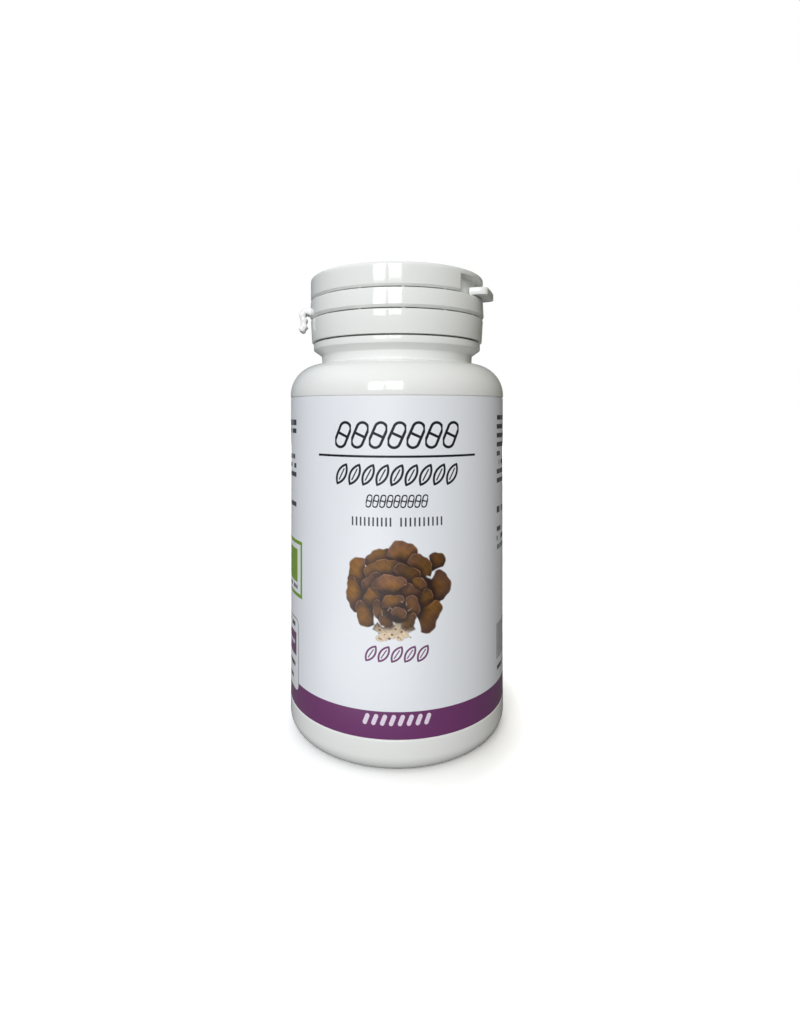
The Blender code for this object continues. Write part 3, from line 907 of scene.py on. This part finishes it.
floor_half = 4.0
floor_shape = bmesh.new()
bmesh.ops.create_grid(floor_shape, x_segments=8, y_segments=8, size=floor_half)
floor = finished("studio_floor", floor_shape)
floor_material = bpy.data.materials.new("white_table")
floor_material.use_nodes = True
floor_tree = floor_material.node_tree
floor_shader = floor_tree.nodes["Principled BSDF"]
floor_shader.inputs["Roughness"].default_value = 0.9
floor_shader.inputs["Specular IOR Level"].default_value = 0.0
floor_sight = floor_tree.nodes.new("ShaderNodeLightPath")
floor_tone = floor_tree.nodes.new("ShaderNodeMix")
floor_tone.data_type = "RGBA"
floor_tone.inputs["A"].default_value = (0.24, 0.24, 0.235, 1)
# Painted shadow: the table's tone for the camera is darker round the foot, deepening the foot's own shadow,
# and washes out to plain white a short way beyond it.
floor_place = floor_tree.nodes.new("ShaderNodeNewGeometry")
floor_reach = floor_tree.nodes.new("ShaderNodeVectorMath")
floor_reach.operation = "LENGTH"
floor_painted_shadow_and_wash = floor_tree.nodes.new("ShaderNodeMapRange")
floor_painted_shadow_and_wash.interpolation_type = "SMOOTHSTEP"
floor_painted_shadow_and_wash.inputs["From Min"].default_value = body_radius
floor_painted_shadow_and_wash.inputs["From Max"].default_value = 55 * mm
# The painted shadow is darkest here, at the foot's edge.
floor_painted_shadow_and_wash.inputs["To Min"].default_value = 1.3
floor_painted_shadow_and_wash.inputs["To Max"].default_value = 2.6
floor_tree.links.new(floor_place.outputs["Position"], floor_reach.inputs[0])
floor_tree.links.new(floor_reach.outputs["Value"], floor_painted_shadow_and_wash.inputs["Value"])
floor_tree.links.new(floor_painted_shadow_and_wash.outputs["Result"], floor_tone.inputs["B"])
floor_tree.links.new(floor_sight.outputs["Is Camera Ray"], floor_tone.inputs["Factor"])
floor_tree.links.new(floor_tone.outputs["Result"], floor_shader.inputs["Base Color"])
floor.data.materials.append(floor_material)


def light_panel(name, place, facing, width, tall, brightness):
    """A flat rectangular panel of even light, turned from its place towards a point."""
    lamp = bpy.data.lights.new(name, "AREA")
    lamp.shape = "RECTANGLE"
    lamp.size, lamp.size_y = width, tall
    lamp.energy = brightness * math.pi * width * tall
    made = bpy.data.objects.new(name, lamp)
    made.location = place
    made.rotation_euler = (Vector(facing) - made.location).to_track_quat("-Z", "Y").to_euler()
    made.visible_camera = False
    bpy.context.scene.collection.objects.link(made)
    return made


label_middle = (0, 0, 0.07)
window_height, window_tall, window_brightness = 0.535, 0.53, 7.0
for name, aside, width in (("left_window", -0.4035, 0.303), ("right_window", -0.039, 0.298)):
    light_panel(name, (aside, -1.0, window_height), label_middle, width, window_tall, window_brightness)

# Two broad lamps add soft light without a mirror image, one in front and one behind. A white card
# on the table in front, seen only as sheen, puts the soft bright band on the film.
soft_front = light_panel("soft_front", (-0.14, -1.1, 0.35), label_middle, 0.44, 0.60, 3.2)
soft_front.visible_glossy = False
soft_back = light_panel("soft_back", (0.1, 1.1, 0.6), (0, 0, 0.05), 0.9, 0.8, 2.4)
soft_back.visible_glossy = False
card = light_panel("table_card", (-0.13, -0.27, 0.002), (-0.13, -0.27, 1), 0.13, 0.5, 1.5)
card.rotation_euler = (math.pi, 0, math.radians(-26))
card.visible_diffuse = False

world = bpy.data.worlds.new("studio")
world.use_nodes = True
bpy.context.scene.world = world
world_tree = world.node_tree
world_tree.nodes.clear()
direction = world_tree.nodes.new("ShaderNodeTexCoord")
parts = world_tree.nodes.new("ShaderNodeSeparateXYZ")
world_tree.links.new(direction.outputs["Generated"], parts.inputs[0])
sideways = world_tree.nodes.new("ShaderNodeValToRGB")
sideways.color_ramp.elements[0].position = 0.10
sideways.color_ramp.elements[0].color = (0.10, 0.12, 0.14, 1)
sideways.color_ramp.elements[1].position = 0.80
sideways.color_ramp.elements[1].color = (0.06, 0.048, 0.02, 1)
middle = sideways.color_ramp.elements.new(0.5)
middle.color = (0.30, 0.31, 0.31, 1)
half_turn = world_tree.nodes.new("ShaderNodeMapRange")
half_turn.inputs["From Min"].default_value = -1
half_turn.inputs["From Max"].default_value = 1
world_tree.links.new(parts.outputs["X"], half_turn.inputs["Value"])
world_tree.links.new(half_turn.outputs["Result"], sideways.inputs["Fac"])
dome = world_tree.nodes.new("ShaderNodeMapRange")
dome.interpolation_type = "SMOOTHSTEP"
dome.inputs["From Min"].default_value = 0.35
dome.inputs["From Max"].default_value = 0.80
world_tree.links.new(parts.outputs["Z"], dome.inputs["Value"])
sky = world_tree.nodes.new("ShaderNodeMix")
sky.data_type = "RGBA"
overhead = world_tree.nodes.new("ShaderNodeValToRGB")
overhead.color_ramp.elements[0].position = 0.2
overhead.color_ramp.elements[0].color = (0.90, 0.94, 0.98, 1)
overhead.color_ramp.elements[1].position = 0.8
overhead.color_ramp.elements[1].color = (0.26, 0.235, 0.17, 1)
world_tree.links.new(half_turn.outputs["Result"], overhead.inputs["Fac"])
world_tree.links.new(overhead.outputs["Color"], sky.inputs["B"])
world_tree.links.new(dome.outputs["Result"], sky.inputs["Factor"])
world_tree.links.new(sideways.outputs["Color"], sky.inputs["A"])
seen = world_tree.nodes.new("ShaderNodeLightPath")
backdrop = world_tree.nodes.new("ShaderNodeMix")
backdrop.data_type = "RGBA"
backdrop.inputs["B"].default_value = (1, 1, 1, 1)
world_tree.links.new(seen.outputs["Is Camera Ray"], backdrop.inputs["Factor"])
world_tree.links.new(sky.outputs["Result"], backdrop.inputs["A"])
glow = world_tree.nodes.new("ShaderNodeBackground")
world_tree.links.new(backdrop.outputs["Result"], glow.inputs["Color"])
world_out = world_tree.nodes.new("ShaderNodeOutputWorld")
world_tree.links.new(glow.outputs["Background"], world_out.inputs["Surface"])

eye_distance, eye_height = 149 * mm, 77.3 * mm
camera_data = bpy.data.cameras.new("camera")
camera_data.lens = 20.05
camera_data.sensor_width = 36
camera_data.shift_x = 0.003
camera_data.shift_y = -0.1015
camera_data.clip_start = 0.01
camera = bpy.data.objects.new("camera", camera_data)
camera.location = (0, -eye_distance, eye_height)
camera.rotation_euler = (math.radians(90), 0, 0)
bpy.context.scene.collection.objects.link(camera)
bpy.context.scene.camera = camera
bpy.context.scene.view_settings.view_transform = "Standard"
